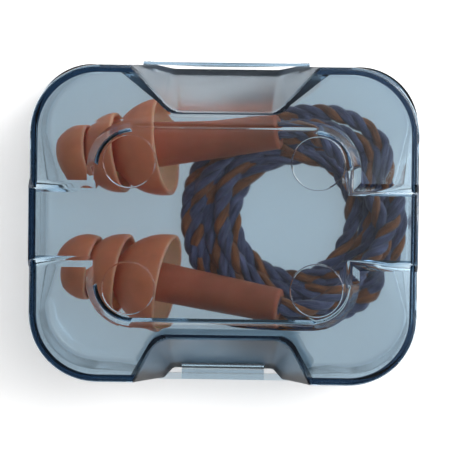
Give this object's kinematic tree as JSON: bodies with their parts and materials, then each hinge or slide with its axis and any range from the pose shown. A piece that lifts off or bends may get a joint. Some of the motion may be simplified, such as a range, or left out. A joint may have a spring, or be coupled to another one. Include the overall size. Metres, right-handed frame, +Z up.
{
  "type": "corded reusable ear plugs in a hinged case",
  "caption": "Corded triple-flange reusable ear plugs, kept with their coiled cord in a clear tinted pocket case with a hinged, latching lid.",
  "frame": {"origin": "centre of the flat face that the case rests on", "axes": "+X along the long side, +Y towards the hinge, +Z up through the lid"},
  "size_m": [0.054, 0.0448, 0.018],
  "materials": {
    "tinted_clear_plastic": "polished, slate-blue tint",
    "soft_elastomer": "satin",
    "glued_cord_end": "matte",
    "twisted_cord": "twisted blue and orange yarn"
  },
  "bodies": {
    "base": {"case_base": "tinted_clear_plastic", "hinge_strap": "tinted_clear_plastic"},
    "lid": {"case_lid": "tinted_clear_plastic"},
    "tongue": {"latch_tongue": "tinted_clear_plastic"},
    "ear_plugs": {"plug_upper": "soft_elastomer", "plug_lower": "soft_elastomer", "cord_anchor_upper": "glued_cord_end", "cord_anchor_lower": "glued_cord_end", "cord_coil": "twisted_cord", "cord_lead_upper": "twisted_cord", "cord_lead_lower": "twisted_cord"}
  },
  "joints": [
    {"name": "lid_hinge", "type": "hinge", "parent": "base", "child": "lid", "pos_m": [0, 0.02225, 0.009], "axis": [-1, 0, 0], "range_deg": [0, 180], "deforming": ["hinge_strap"]},
    {"name": "latch_flex", "type": "hinge", "parent": "lid", "child": "tongue", "pos_m": [0, -0.0201, 0.00985], "axis": [1, 0, 0], "range_deg": [0, 3], "stiffness_Nm_per_rad": 0.05},
    {"name": "plugs_lift", "type": "slide", "parent": "base", "child": "ear_plugs", "axis": [0, 0, 1], "range_m": [0, 0.0009]}
  ]
}
